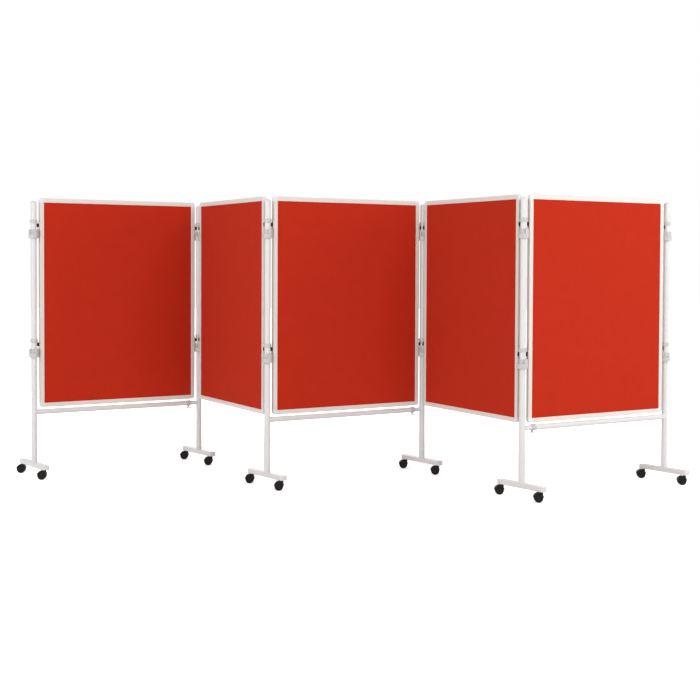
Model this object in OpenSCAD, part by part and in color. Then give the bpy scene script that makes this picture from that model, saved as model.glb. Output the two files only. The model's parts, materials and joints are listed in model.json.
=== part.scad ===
// Five-panel rolling partition: three wheeled stands, each with a fixed felt panel, and two
// link panels hooked between them on swivel rings, so that the row folds like a screen.
// Origin on the floor under the middle panel's centre, +X along the row, +Z up, millimetres.

/* [Panels] */
// Outer width of every panel
panel_w = 1000; // [800:10:1200]
// Outer height of every panel
panel_h = 1200; // [1100:10:1500]
// Depth of the aluminium edge profile, front to back
panel_t = 20; // [18:1:26]
// Width of the edge profile seen from the front
profile_face = 25; // [24:1:32]
// Thickness of the felt covered board
board_t = 14; // [10:1:14]
// Depth to which the board sits in the profile's groove
groove_depth = 12.5; // [8:0.5:12.5]
// Wall of the edge profile
profile_wall = 2; // [1.5:0.1:2.5]
// Width of the slot along the profile's outer side
slot_w = 9; // [6:0.5:10]
// Depth of that slot
slot_depth = 3; // [2:0.5:4]
// Outer radius of the moulded corner pieces
corner_r = 18; // [8:1:24]
// Length of a corner piece's arms
corner_leg = 30; // [28:1:45]

/* [Arrangement] */
// Turn of the three stands away from the row's length, in degrees
stand_yaw = 34.5; // [25:0.5:45]
// Angle between a stand's panel and the link panel hooked to it, in degrees
hinge_angle = 82; // [70:1:120]
// Distance from a post's axis to the panel's edge
post_gap = 34; // [33:1:40]
// Height of the panels' lower edge above the floor
panel_z = 394; // [300:1:600]

/* [Posts and rail] */
// Outer diameter of the posts
post_d = 33.7; // [30:0.1:34]
// Wall of the posts
post_wall = 2; // [1.5:0.1:3]
// Distance from the panels' upper edge down to the end of the post tube
post_drop = 26; // [10:1:60]
// Height of a post cap's dome
cap_dome = 8; // [4:1:12]
// Outer diameter of the rail under a stand's panel
rail_d = 30; // [28:1:34]
// Distance from the panels' lower edge down to the rail's axis
rail_drop = 25; // [22:1:60]
// Diameter of the stub on which the rail slides
stub_d = 25; // [20:0.5:25]
// Length of stub that stays in sight
stub_show = 45; // [30:1:80]
// Length of stub inside the rail
stub_grip = 60; // [40:1:100]

/* [Connectors] */
// Heights of the connectors' lower edges above the panels' lower edge
connector_rise = [288, 970]; // [100:1:1000]
// Outer radius of the collars and of the ears on the rings
collar_r = 28.5; // [28:0.5:29]
// Radius of the circle on which the hook pins stand
pin_circle = 24.6; // [24.5:0.1:24.8]
// Diameter of a hook pin
pin_d = 5; // [4:0.1:5]
// Height of a fixed collar's lower ring
collar_h = 25; // [18:1:26]
// Height of a swivel ring
ring_h = 25; // [18:1:26]
// Smallest and largest angle from the stand's panel to the link panel, in degrees
swing = [50, 230]; // [40:1:240]
// Half the angle that a swivel ring's ear spans, in degrees
ear_half = 19.5; // [15:0.5:22]

/* [Feet and casters] */
// Distance between the caster stems of one foot
stem_pitch = 310; // [280:10:480]
// Length of a foot bar's tube
foot_len = 344; // [320:2:520]
// Width of a foot bar
foot_w = 40; // [38:1:50]
// Height of a foot bar
foot_h = 26; // [22:1:30]
// Height of the foot bars above the floor
foot_z = 55; // [54:1:62]
// Diameter of a caster wheel
wheel_d = 48; // [44:1:50]
// Width of one of a caster's two wheels
wheel_w = 17; // [12:1:18]
// Distance that a wheel's axle trails behind the stem
trail = 16; // [12:1:20]

/* [Hidden] */
$fn = 64;

// Clearances
seat = 0.05;        // between fixed pieces that slide together
running = 0.08;     // radial, between pieces that turn
stop_gap = 0.5;     // degrees between an ear and its stop at the end of the swing
bite = 1;           // overlap that makes a cut pass clear through

// Posts
post_r = post_d / 2;
post_z = foot_z + foot_h;
post_end = panel_z + panel_h - post_drop;
post_pitch = panel_w + 2 * post_gap;
cap_grip = 18;

// Connectors, heights measured from the bottom of the fixed collar
ring_wall = 2.7;
ring_z = collar_h + 0.3;
ring_top = ring_z + ring_h;
hook_z = ring_top + 13.7;
hook_h = 21;
hook_w = 16;
hook_reach = 12.6;
plate_t = 2.5;
plate_w = 15;
plate_h = 44;
stop_ring_z = hook_z + hook_h + 1;
stop_ring_h = 20;
stop_ring_r = 21.9;
pin_hole_r = pin_d / 2 + 0.1;
pin_top = hook_z + 17;
stand_pin_z = 6;
link_pin_z = ring_z + 2;
grub_d = 6;
grub_turn = -125;

// Edge profile and board
groove_w = board_t + 0.2;
groove_floor = profile_face - groove_depth;
chamber_x = slot_depth + profile_wall;
chamber_w = groove_floor - profile_wall - chamber_x;
chamber_t = panel_t - 2 * profile_wall;
field_rise = 1;     // the felt field, left free by the lips, stands above the board's edge
field_play = 0.4;
round_edge = 2.5;
peg_len = 22;

// Rail
rail_z = panel_z - rail_drop;
rail_wall = (rail_d - stub_d) / 2 - seat;
rail_end = post_pitch / 2 - post_r - stub_show;
grip_ring_len = 28;
grip_ring_r = rail_d / 2 + 2;
thumb_d = 6;
thumb_tilt = 20;

// Foot bars and casters
foot_wall = 2;
foot_corner = 3;
plug_len = 5;
stem_r = 5;
stem_up = 20;
wheel_r = wheel_d / 2;
wheel_gap = 3.5;
axle_r = 3;
fender_in = wheel_r + 0.9;
fender_out = fender_in + 2.2;
fender_w = 37;

// The row: a zigzag of stands and links about the middle panel
function along(a) = [cos(a), sin(a)];
link_yaw = stand_yaw + hinge_angle - 180;
stride = post_pitch * (along(stand_yaw) + along(link_yaw));
STANDS = ["left", "middle", "right"];
LINKS = ["left_link", "right_link"];
PANELS = ["left", "left_link", "middle", "right_link", "right"];
ENDS = ["front", "rear"];

function post_spot(i) =
    (floor((i - 1) / 2) - 1) * stride + (i % 2 == 1 ? -0.5 : 0.5) * post_pitch * along(stand_yaw);
function caster_spot(i, end) =
    post_spot(i) + (end == "rear" ? 0.5 : -0.5) * stem_pitch * along(stand_yaw + 90);
function caster_name(i, end, part) = str("caster_", i, "_", end, "_", part);

// ---------- places ----------

// Stand s, with local +X along its panel and local -Y its front
module at_stand(s)
    translate((s - 1) * stride) rotate(stand_yaw) children();

// Link panel l, with local +X from its left post to its right post
module at_link(l)
    translate((l - 0.5) * stride) rotate(link_yaw) children();

module at_panel(k)
    if (k % 2 == 0) at_stand(k / 2) children();
    else at_link((k - 1) / 2) children();

// Both post axes of a stand or link, each with local +X pointing to the panel between them
module at_posts()
    for (turn = [0, 180]) at_post(turn) children();

module at_post(turn)
    rotate(turn) translate([-post_pitch / 2, 0, 0]) children();

// The connectors of one post
module at_connectors()
    for (rise = connector_rise) translate([0, 0, panel_z + rise]) children();

// The rail's own axis along +X, its loose end at the post with the stub. The right-hand
// stand is turned about, so that its loose end is at the inner post
module at_rail(s)
    rotate(s == 2 ? 180 : 0) translate([0, 0, rail_z]) children();

// ---------- shapes ----------

// Rectangle with round corners, centred
module soft_rect(w, h, r) {
    square([w - 2 * r, h], center = true);
    square([w, h - 2 * r], center = true);
    for (x = [-1, 1], y = [-1, 1])
        translate([x * (w / 2 - r), y * (h / 2 - r)]) circle(r);
}

// Ring with chamfered outer edges
module ring(r_in, r_out, z0, z1, chamfer = 1)
    rotate_extrude()
        polygon([
            [r_in, z0], [r_out - chamfer, z0], [r_out, z0 + chamfer],
            [r_out, z1 - chamfer], [r_out - chamfer, z1], [r_in, z1]
        ]);

// Wedge between two angles, up to 180 degrees apart, long enough to cut any collar
module wedge(a0, a1, z0, z1) {
    reach = 2 * collar_r;
    step = (a1 - a0) / 6;
    translate([0, 0, z0])
        linear_extrude(z1 - z0)
            polygon(concat([[0, 0]], [for (k = [0:6]) reach * along(a0 + k * step)]));
}

// Hole for a grub screw, pointing outwards at the angle turn and the height z
module grub_hole(z)
    translate([0, 0, z]) rotate([0, 90, grub_turn]) cylinder(d = grub_d, h = 2 * collar_r);

// Grub screw with its hexagon socket, its tip on the post
module grub_screw(z, r_out) {
    reach = r_out - post_r - 1;
    translate([0, 0, z])
        rotate([0, 90, grub_turn])
            translate([0, 0, post_r + seat])
                difference() {
                    cylinder(d = grub_d - 2 * seat, h = reach);
                    translate([0, 0, reach - 3]) cylinder(d = grub_d / 2, h = 3 + bite, $fn = 6);
                }
}

// ---------- stands ----------

// Two steel tubes, and the stub that carries the rail's loose end
module posts(s)
    color("whitesmoke") at_stand(s) {
        at_posts()
            translate([0, 0, post_z])
                difference() {
                    cylinder(r = post_r, h = post_end - post_z);
                    translate([0, 0, -bite])
                        cylinder(r = post_r - post_wall, h = post_end - post_z + 2 * bite);
                }
        at_rail(s) stub();
    }

module stub()
    difference() {
        translate([rail_end - stub_grip, 0, 0])
            rotate([0, 90, 0])
                difference() {
                    cylinder(d = stub_d, h = stub_grip + stub_show + post_r);
                    translate([0, 0, -bite])
                        cylinder(d = stub_d - 4, h = stub_grip + stub_show + post_r + 2 * bite);
                }
        translate([post_pitch / 2, 0, -rail_d])
            cylinder(r = post_r + seat, h = 2 * rail_d);
    }

// Rail tube, welded to one post and sliding on the stub of the other
module rail(s)
    color("whitesmoke") at_stand(s) at_rail(s)
        difference() {
            translate([-post_pitch / 2, 0, 0])
                rotate([0, 90, 0])
                    difference() {
                        cylinder(d = rail_d, h = rail_end + post_pitch / 2);
                        translate([0, 0, -bite])
                            cylinder(r = rail_d / 2 - rail_wall, h = post_pitch);
                    }
            translate([-post_pitch / 2, 0, -rail_d])
                cylinder(r = post_r + seat, h = 2 * rail_d);
            thumb_line() cylinder(d = thumb_d + 0.4, h = rail_d);
        }

// The line of the thumb screw: from the rail's axis down and a little to the front
module thumb_line()
    translate([rail_end - grip_ring_len / 2, 0, 0]) rotate([180 - thumb_tilt, 0, 0]) children();

// Flat tubes on which the posts stand, with a bush for each caster stem
module foot_bars(s)
    color("whitesmoke") at_stand(s) at_posts() translate([0, 0, foot_z])
        difference() {
            union() {
                rotate([90, 0, 0]) translate([0, foot_h / 2, -foot_len / 2])
                    linear_extrude(foot_len)
                        difference() {
                            soft_rect(foot_w, foot_h, foot_corner);
                            square([foot_w - 2 * foot_wall, foot_h - 2 * foot_wall], center = true);
                        }
                for (y = [-0.5, 0.5])
                    translate([0, y * stem_pitch, foot_wall / 2])
                        cylinder(r = stem_r + 4, h = foot_h - foot_wall);
            }
            for (y = [-0.5, 0.5])
                translate([0, y * stem_pitch, -bite])
                    cylinder(r = stem_r + running, h = stem_up + 1 + bite);
        }

// Domed caps in the posts and bowed plugs in the foot bars
module end_caps(s)
    color("gainsboro") at_stand(s) at_posts() {
        translate([0, 0, post_end]) post_cap();
        for (turn = [0, 180])
            rotate(turn) translate([0, foot_len / 2, foot_z + foot_h / 2]) foot_plug();
    }

module post_cap() {
    brim = 2;
    dome_r = (post_r * post_r + cap_dome * cap_dome) / (2 * cap_dome);
    cylinder(r = post_r, h = brim);
    translate([0, 0, -cap_grip]) cylinder(r = post_r - post_wall - seat, h = cap_grip + brim);
    intersection() {
        translate([0, 0, brim + cap_dome - dome_r]) sphere(dome_r, $fn = 96);
        translate([0, 0, brim]) cylinder(r = post_r, h = cap_dome);
    }
}

module foot_plug() {
    bow_r = 45;
    intersection() {
        rotate([-90, 0, 0]) linear_extrude(plug_len) soft_rect(foot_w, foot_h, foot_corner);
        translate([0, plug_len - bow_r, -foot_h]) cylinder(r = bow_r, h = 2 * foot_h, $fn = 128);
    }
    translate([0, -3, 0])
        cube([foot_w - 2 * foot_wall - 0.4, 7, foot_h - 2 * foot_wall - 0.4], center = true);
}

// Fixed collars, stop rings, the rail's grip ring, and a spare ring on a post with no link
module collars(s)
    color("silver") at_stand(s) {
        at_posts() at_connectors() {
            fixed_collar();
            stop_ring();
        }
        if (s == 0) at_post(0) at_connectors() rotate(180) swivel_ring();
        if (s == 2) at_post(180) at_connectors() rotate(180) swivel_ring();
        at_rail(s) grip_ring();
    }

// Collar with a socket for the stand's own hook. The ends of its raised part are the
// stops of the swivel ring
module fixed_collar()
    difference() {
        union() {
            ring(post_r + seat, collar_r, 0, collar_h);
            intersection() {
                ring(post_r + running + ring_wall + 0.5, collar_r, collar_h - 2, ring_top);
                wedge(swing[1] + ear_half + stop_gap - 360, swing[0] - ear_half - stop_gap,
                    collar_h - 4, ring_top + bite);
            }
        }
        translate([pin_circle, 0, 3]) cylinder(r = pin_hole_r, h = ring_top);
        grub_hole(collar_h / 2);
    }

module stop_ring()
    difference() {
        ring(post_r + seat, stop_ring_r, stop_ring_z, stop_ring_z + stop_ring_h);
        grub_hole(stop_ring_z + stop_ring_h / 2);
    }

// Ring that turns on the post, with the ear that takes a link panel's hook pin
module swivel_ring()
    difference() {
        union() {
            ring(post_r + running, post_r + running + ring_wall, ring_z, ring_top, 0.5);
            intersection() {
                ring(post_r + running, collar_r, ring_z, ring_top);
                wedge(-ear_half, ear_half, ring_z - bite, ring_top + bite);
            }
        }
        translate([pin_circle, 0, ring_z - bite]) cylinder(r = pin_hole_r, h = ring_h + 2 * bite);
    }

// Ring on the rail's loose end, with the boss that the thumb screw is threaded in
module grip_ring()
    difference() {
        union() {
            translate([rail_end - grip_ring_len, 0, 0])
                rotate([0, 90, 0]) ring(0, grip_ring_r, 0, grip_ring_len, 0.8);
            thumb_line() cylinder(d = 14, h = grip_ring_r + 4);
        }
        translate([rail_end - grip_ring_len - bite, 0, 0])
            rotate([0, 90, 0]) cylinder(r = rail_d / 2 + seat, h = grip_ring_len + 2 * bite);
        thumb_line() cylinder(d = thumb_d + 0.2, h = 2 * rail_d);
    }

// Grub screws of the collars and the rail's thumb screw
module fasteners(s)
    color("dimgray") at_stand(s) {
        at_posts() at_connectors() {
            grub_screw(collar_h / 2, collar_r);
            grub_screw(stop_ring_z + stop_ring_h / 2, stop_ring_r);
        }
        at_rail(s) thumb_line() thumb_screw();
    }

// Screw with a hub and two wings, its tip on the stub
module thumb_screw() {
    hub_z = grip_ring_r + 5;
    hub_h = 9;
    wing = [11, 4, 13];
    translate([0, 0, stub_d / 2 + seat]) cylinder(d = thumb_d, h = hub_z - stub_d / 2);
    translate([0, 0, hub_z]) cylinder(r1 = 6.5, r2 = 5, h = hub_h);
    for (turn = [0, 180])
        rotate(turn) translate([4, 0, hub_z + 2])
            rotate([90, 0, 0]) linear_extrude(wing[1], center = true)
                translate([wing[0] / 2, wing[2] / 2]) soft_rect(wing[0], wing[2], 4);
}

// ---------- panels ----------

// Soft board with felt on both faces, pressed thinner where the profile's lips hold it
module board(k)
    color("firebrick") at_panel(k)
        translate([0, 0, panel_z + panel_h / 2])
            union() {
                slab(groove_floor + 0.3, board_t);
                slab(profile_face + field_play, board_t + 2 * field_rise);
            }

// Upright slab in the middle of a panel, its rim at the given distance from the panel's
module slab(inset, thick)
    cube([panel_w - 2 * inset, thick, panel_h - 2 * inset], center = true);

// Section of the edge profile: x from the panel's rim inwards, y front to back. A hollow
// chamber lies between the groove that holds the board and the slot for the hooks' plates
module profile_section()
    difference() {
        union() {
            translate([profile_face / 2, 0]) soft_rect(profile_face, panel_t, round_edge);
            translate([profile_face - round_edge, -panel_t / 2 + 0.5])
                square([round_edge, panel_t - 1]);
        }
        translate([groove_floor, -groove_w / 2]) square([profile_face, groove_w]);
        translate([-bite, -slot_w / 2]) square([slot_depth + bite, slot_w]);
        translate([chamber_x, -chamber_t / 2]) square([chamber_w, chamber_t]);
    }

module profile(length)
    translate([0, 0, -length / 2]) linear_extrude(length) profile_section();

// Four lengths of profile, the four moulded corner pieces that join them, and the plates
// on the uprights that carry the hooks
module frame(k) {
    upright = panel_h - 2 * corner_leg;
    cross = panel_w - 2 * corner_leg;
    color("white") at_panel(k) translate([0, 0, panel_z + panel_h / 2]) {
        for (turn = [0, 180])
            rotate([0, 0, turn]) translate([-panel_w / 2, 0, 0]) profile(upright);
        for (turn = [0, 180])
            rotate([0, turn, 0]) translate([0, 0, -panel_h / 2])
                rotate([0, -90, 0]) profile(cross);
        for (x = [0, 1], z = [0, 1])
            mirror([x, 0, 0]) mirror([0, 0, z])
                translate([-panel_w / 2, 0, -panel_h / 2]) corner_piece();
    }
    color("white") at_panel(k) at_posts() at_connectors() hook_plate();
}

// Moulded corner, with the panel's corner at the origin and its arms along +X and +Z
module corner_piece() {
    play = 0.2;
    difference() {
        rotate([90, 0, 0]) linear_extrude(panel_t, center = true) corner_outline();
        translate([groove_floor, -groove_w / 2, groove_floor])
            cube([2 * corner_leg, groove_w, 2 * corner_leg]);
    }
    for (flip = [0, 1])
        mirror([flip, 0, -flip])
            translate([chamber_x + play, play - chamber_t / 2, corner_leg - bite])
                cube([chamber_w - 2 * play, chamber_t - 2 * play, peg_len + bite]);
}

module corner_outline()
    difference() {
        union() {
            translate([corner_r, corner_r]) circle(corner_r);
            translate([corner_r, 0]) square([corner_leg - corner_r, corner_leg]);
            translate([0, corner_r]) square([corner_leg, corner_leg - corner_r]);
        }
        translate([profile_face, profile_face]) square(corner_leg);
    }

// Plate across the slot of a panel's upright, under a hook
module hook_plate()
    translate([post_gap - plate_t - seat, 0, hook_z + hook_h / 2])
        rotate([0, 90, 0]) linear_extrude(plate_t) soft_rect(plate_h, plate_w, 4);

// Hooks on both uprights of a panel, each with its steel pin
module hooks(k)
    color([0.1, 0.1, 0.1]) at_panel(k) at_posts() at_connectors() {
        hook();
        hook_pin(k % 2 == 0 ? stand_pin_z : link_pin_z);
    }

// Moulded body, rounded towards the post and flat on its plate
module hook()
    difference() {
        translate([post_gap - plate_t - 2 * seat, 0, hook_z])
            intersection() {
                translate([0, hook_w / 2, hook_h / 2])
                    rotate([90, 0, 0]) linear_extrude(hook_w) lug(hook_reach, hook_h, 6);
                linear_extrude(hook_h) lug(hook_reach, hook_w, 4);
            }
        translate([pin_circle, 0, hook_z - bite])
            cylinder(d = pin_d + 0.1, h = pin_top - hook_z + bite);
    }

// Outline with two round corners, square at x = 0 and reaching to x = -w
module lug(w, h, r)
    difference() {
        soft_rect(2 * w, h, r);
        translate([0, -h]) square([2 * w, 2 * h]);
    }

module hook_pin(z0)
    translate([pin_circle, 0, z0]) cylinder(d = pin_d, h = pin_top - z0);

// Swivel rings on both posts of a link panel
module link_rings(l)
    color("silver") at_link(l) at_posts() at_connectors() swivel_ring();

// ---------- casters ----------

// Fork of a twin-wheel caster: stem, boss, mudguard and the web between the wheels
module caster_fork(i, end)
    color([0.12, 0.12, 0.12]) translate(caster_spot(i, end))
        difference() {
            union() {
                difference() {
                    union() {
                        on_axle(fender_w) circle(fender_out);
                        translate([0, 0, wheel_r + 4]) cylinder(r = 11, h = foot_z - wheel_r - 4.3);
                    }
                    on_axle(2 * fender_w) circle(fender_in);
                    translate([-2 * wheel_d, -wheel_d, -wheel_d])
                        cube([4 * wheel_d, 2 * wheel_d, wheel_d + wheel_r + 3]);
                }
                on_axle(2 * (wheel_gap - 0.7)) fork_web();
                translate([0, 0, foot_z - 2]) cylinder(r = stem_r, h = stem_up + 2);
            }
            on_axle(2 * fender_w) circle(axle_r + running);
        }

// The plane of a wheel: x along the floor, y up, centred on the axle
module on_axle(width)
    translate([-trail, 0, wheel_r]) rotate([90, 0, 0]) linear_extrude(width, center = true)
        children();

module fork_web() {
    difference() {
        circle(fender_out - 1);
        translate([-wheel_d, -wheel_d]) square([2 * wheel_d, wheel_d]);
    }
    circle(9);
}

// Two wheels on one axle, with dished outer faces
module caster_wheels(i, end)
    color([0.16, 0.15, 0.15]) translate(caster_spot(i, end)) translate([-trail, 0, wheel_r])
        rotate([90, 0, 0]) {
            cylinder(r = axle_r, h = 2 * (wheel_gap + wheel_w) - 6, center = true);
            for (side = [0, 1]) mirror([0, 0, side]) translate([0, 0, wheel_gap]) wheel();
        }

// One wheel about the Z axis, its inner face at z = 0
module wheel() {
    crown = 1.5;
    rotate_extrude()
        polygon([
            [axle_r + seat, 0], [wheel_r - crown, 0], [wheel_r, crown],
            [wheel_r, wheel_w - crown - 1], [wheel_r - crown, wheel_w - 1],
            [wheel_r - 5, wheel_w], [wheel_r - 7, wheel_w - 3], [11, wheel_w - 3.5],
            [9, wheel_w - 1], [6, wheel_w], [axle_r + seat, wheel_w]
        ]);
}

// ---------- pieces ----------

for (s = [0:2]) {
    posts(s);
    foot_bars(s);
    end_caps(s);
    rail(s);
    collars(s);
    fasteners(s);
}
for (k = [0:4]) {
    board(k);
    frame(k);
    hooks(k);
}
for (l = [0:1])
    link_rings(l);
for (i = [1:6], e = ENDS) {
    caster_fork(i, e);
    caster_wheels(i, e);
}
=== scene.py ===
"""Looks of a rolling partition: five felt panels in slim frames, on three wheeled stands.

Sizes are metres in the part's own frame: the floor is z = 0, +X runs along the row and +Y to
the back. Posts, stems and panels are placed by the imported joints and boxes, so each piece
lies where its solid does. A piece is a set of closed surfaces, each worked out as one grid.
"""

import json
import logging
import math
from dataclasses import dataclass, field
from enum import Enum
from typing import Sequence

import bpy
import numpy as np
from numpy.typing import NDArray
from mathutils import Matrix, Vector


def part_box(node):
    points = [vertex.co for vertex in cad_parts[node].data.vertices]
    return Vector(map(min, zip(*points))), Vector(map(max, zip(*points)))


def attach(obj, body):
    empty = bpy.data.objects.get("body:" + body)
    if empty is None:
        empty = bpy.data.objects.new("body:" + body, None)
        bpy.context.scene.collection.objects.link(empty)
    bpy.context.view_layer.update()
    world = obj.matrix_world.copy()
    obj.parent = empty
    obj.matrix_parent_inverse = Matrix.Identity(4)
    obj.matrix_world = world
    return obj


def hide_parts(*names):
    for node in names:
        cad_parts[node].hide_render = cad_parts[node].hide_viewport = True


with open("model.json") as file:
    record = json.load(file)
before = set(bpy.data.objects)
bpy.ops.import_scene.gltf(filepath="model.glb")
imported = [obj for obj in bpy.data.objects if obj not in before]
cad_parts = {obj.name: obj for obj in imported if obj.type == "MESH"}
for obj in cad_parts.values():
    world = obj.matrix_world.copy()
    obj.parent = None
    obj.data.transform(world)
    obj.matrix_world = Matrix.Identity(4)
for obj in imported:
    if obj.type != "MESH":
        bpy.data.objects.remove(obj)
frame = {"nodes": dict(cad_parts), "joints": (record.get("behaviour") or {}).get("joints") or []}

Array = NDArray[np.float64]
Triple = tuple[float, float, float]
Span = tuple[float, float]
LOG = logging.getLogger("partition")
MM = 0.001


# ---------- grids ----------


class Axis(Enum):
    """The axes that a piece is turned about, each by its number."""

    X = 0
    Y = 1
    Z = 2


def move(x: float = 0.0, y: float = 0.0, z: float = 0.0) -> Array:
    """Returns the 4 by 4 matrix of a shift."""
    matrix = np.eye(4)
    matrix[:3, 3] = (x, y, z)
    return matrix


def turn(axis: Axis, degrees: float) -> Array:
    """Returns the 4 by 4 matrix of a turn.

    The two other axes, taken in cyclic order, get the usual cosine and sine block.

    Args:
        axis: The axis turned about.
        degrees: The angle, by the right-hand rule.
    """
    a, b = (axis.value + 1) % 3, (axis.value + 2) % 3
    cosine, sine = math.cos(math.radians(degrees)), math.sin(math.radians(degrees))
    matrix = np.eye(4)
    matrix[a, a] = matrix[b, b] = cosine
    matrix[a, b], matrix[b, a] = -sine, sine
    return matrix


def flip(axis: Axis) -> Array:
    """Returns the 4 by 4 matrix of a mirror across the plane square to an axis."""
    matrix = np.eye(4)
    matrix[axis.value, axis.value] = -1.0
    return matrix


@dataclass(frozen=True)
class Skin:
    """A closed surface on a grid.

    Attributes:
        points: The grid, rows by columns by 3. A row always runs round and joins itself.
        ring: True if the last row joins the first, as on a torus. Otherwise a flat face
            closes each end.
    """

    points: Array
    ring: bool = False

    def moved(self, matrix: Array) -> "Skin":
        """Returns the surface after a 4 by 4 matrix."""
        return Skin(self.points @ matrix[:3, :3].T + matrix[:3, 3], self.ring)

    def cells(self) -> Sequence[Array]:
        """Returns the row and the column of each four-sided face, as two grids."""
        rows, columns = self.points.shape[:2]
        bands = rows if self.ring else rows - 1
        return np.meshgrid(np.arange(bands), np.arange(columns), indexing="ij")

    def quads(self) -> Array:
        """Returns the corner indices of the four-sided faces, one line each."""
        rows, columns = self.points.shape[:2]
        i, j = self.cells()
        i1, j1 = (i + 1) % rows, (j + 1) % columns
        corners = (i * columns + j, i * columns + j1, i1 * columns + j1, i1 * columns + j)
        return np.stack(corners, axis=-1).reshape(-1, 4)

    def chart(self) -> Array:
        """Returns each quad corner's place on the surface in metres: round it, then along it."""
        around = np.linalg.norm(np.roll(self.points, -1, axis=1) - self.points, axis=2)
        along = np.linalg.norm(np.roll(self.points, -1, axis=0) - self.points, axis=2)
        u = np.concatenate([[0.0], np.cumsum(around.mean(axis=0))])
        v = np.concatenate([[0.0], np.cumsum(along.mean(axis=1))])
        i, j = self.cells()
        corners = [(u[j], v[i]), (u[j + 1], v[i]), (u[j + 1], v[i + 1]), (u[j], v[i + 1])]
        return np.stack([np.stack(c, axis=-1) for c in corners], axis=-2).reshape(-1, 4, 2)

    def caps(self) -> list[Array]:
        """Returns the flat faces that close the two ends, as lists of corner indices."""
        rows, columns = self.points.shape[:2]
        around = np.arange(columns)
        return [] if self.ring else [around[::-1], around + (rows - 1) * columns]

    def inside_out(self) -> bool:
        """Returns True if the faces point inwards: the volume they enclose is negative.

        The volume is a sixth of the sum, over all triangles, of a . (b x c).
        """
        flat = self.points.reshape(-1, 3)
        quads = self.quads()
        fans = [np.stack([np.full(len(c) - 2, c[0]), c[1:-1], c[2:]], -1) for c in self.caps()]
        triangles = np.concatenate([quads[:, :3], quads[:, [0, 2, 3]], *fans])
        a, b, c = (flat[triangles[:, k]] for k in range(3))
        return float(np.einsum("ij,ij->", a - flat.mean(0), np.cross(b - a, c - a))) < 0


ROOM = 0.48  # the most of a side that one rounded corner may take


def soften(outline: Array, radius: float | Sequence[float] | Array, steps: int = 4) -> Array:
    """Rounds the corners of a closed outline.

    Each corner becomes a quadratic curve from a point one radius before it, drawn to the
    corner, to a point one radius after it. The radius is cut to under half of each side.

    Args:
        outline: Corners, n by 2.
        radius: One radius, or one per corner.
        steps: Points of each curve, less one.

    Returns:
        The rounded outline, n * (steps + 1) by 2.
    """
    before = np.roll(outline, 1, axis=0) - outline
    after = np.roll(outline, -1, axis=0) - outline
    reach_in = np.linalg.norm(before, axis=1, keepdims=True)
    reach_out = np.linalg.norm(after, axis=1, keepdims=True)
    wanted = np.broadcast_to(np.asarray(radius, float).reshape(-1, 1), reach_in.shape)
    cut = np.minimum(wanted, ROOM * np.minimum(reach_in, reach_out))
    start = outline + before / reach_in * cut
    end = outline + after / reach_out * cut
    t = np.linspace(0, 1, steps + 1)[None, :, None]
    curve = (1 - t) ** 2 * start[:, None] + 2 * t * (1 - t) * outline[:, None] + t**2 * end[:, None]
    return curve.reshape(-1, 2)


def rectangle(width: float, height: float) -> Array:
    """Returns the four corners of a centred rectangle, anticlockwise."""
    return np.array([(-1, -1), (1, -1), (1, 1), (-1, 1)]) * (width / 2, height / 2)


def round_angles(count: int) -> Array:
    """Returns count angles that go once round, in radians."""
    return np.linspace(0, 2 * np.pi, count, endpoint=False)


def arc(radius: float, angle: Array) -> Array:
    """Returns the points of a circle at the given angles, in radians."""
    return radius * np.stack([np.cos(angle), np.sin(angle)], axis=-1)


def circle(radius: float, count: int) -> Array:
    """Returns count points round a circle, anticlockwise."""
    return arc(radius, round_angles(count))


def level(outline: Array, height: float) -> Array:
    """Returns an outline in the plane z = height."""
    return np.column_stack([outline, np.full(len(outline), height)])


SHORTEST = 1e-12  # a side's least length, against division by nought
SHARPEST = 0.2  # the least 1 + cos of a corner's turn, which bounds its mitre


def inset(outline: Array, depth: float) -> Array:
    """Moves a closed anticlockwise outline inwards along the mitre of each corner.

    Args:
        outline: Corners, n by 2.
        depth: The distance that each side moves.
    """
    side = np.roll(outline, -1, axis=0) - outline
    side /= np.maximum(np.linalg.norm(side, axis=1, keepdims=True), SHORTEST)
    outward = np.stack([side[:, 1], -side[:, 0]], axis=-1)
    last = np.roll(outward, 1, axis=0)
    bluntness = 1 + (outward * last).sum(1, keepdims=True)
    mitre = (outward + last) / np.maximum(bluntness, SHARPEST)
    return outline - depth * mitre


def pillow(outline: Array, low: float, high: float, edge: float, steps: int = 3) -> Skin:
    """A flat plate with rounded edges: an outline carried up Z.

    Near both ends the outline is smaller by edge * (1 - sin t) at the depth edge * (1 - cos t)
    under the face, with t from nought at the face to a right angle.

    Args:
        outline: Closed anticlockwise outline, n by 2.
        low, high: Heights of the two faces.
        edge: Radius of the rounded edges.
        steps: Rows in each rounded edge.
    """
    t = np.linspace(0, np.pi / 2, steps + 1)
    shrink = edge * (1 - np.sin(t))
    climb = edge * (1 - np.cos(t))
    shrink = np.concatenate([shrink, shrink[::-1]])
    heights = np.concatenate([low + climb, high - climb[::-1]])
    return Skin(np.stack([level(inset(outline, s), z) for s, z in zip(shrink, heights)]))


def revolve(profile: Sequence[tuple[Array | float, Array | float]] | Array, count: int,
            ring: bool = False) -> Skin:
    """Turns a profile of (radius, height) pairs about Z.

    Args:
        profile: The pairs, from one end to the other, or a closed loop if ring. Either number
            may be an array with a value for each point round the axis, for lobes and ribs.
        count: Points round the axis.
        ring: True for a loop that stays off the axis.
    """
    angle = round_angles(count)
    radius = np.stack([np.broadcast_to(r, count) for r, _ in profile])
    height = np.stack([np.broadcast_to(z, count) for _, z in profile])
    return Skin(np.stack([radius * np.cos(angle), radius * np.sin(angle), height], -1), ring)


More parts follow.
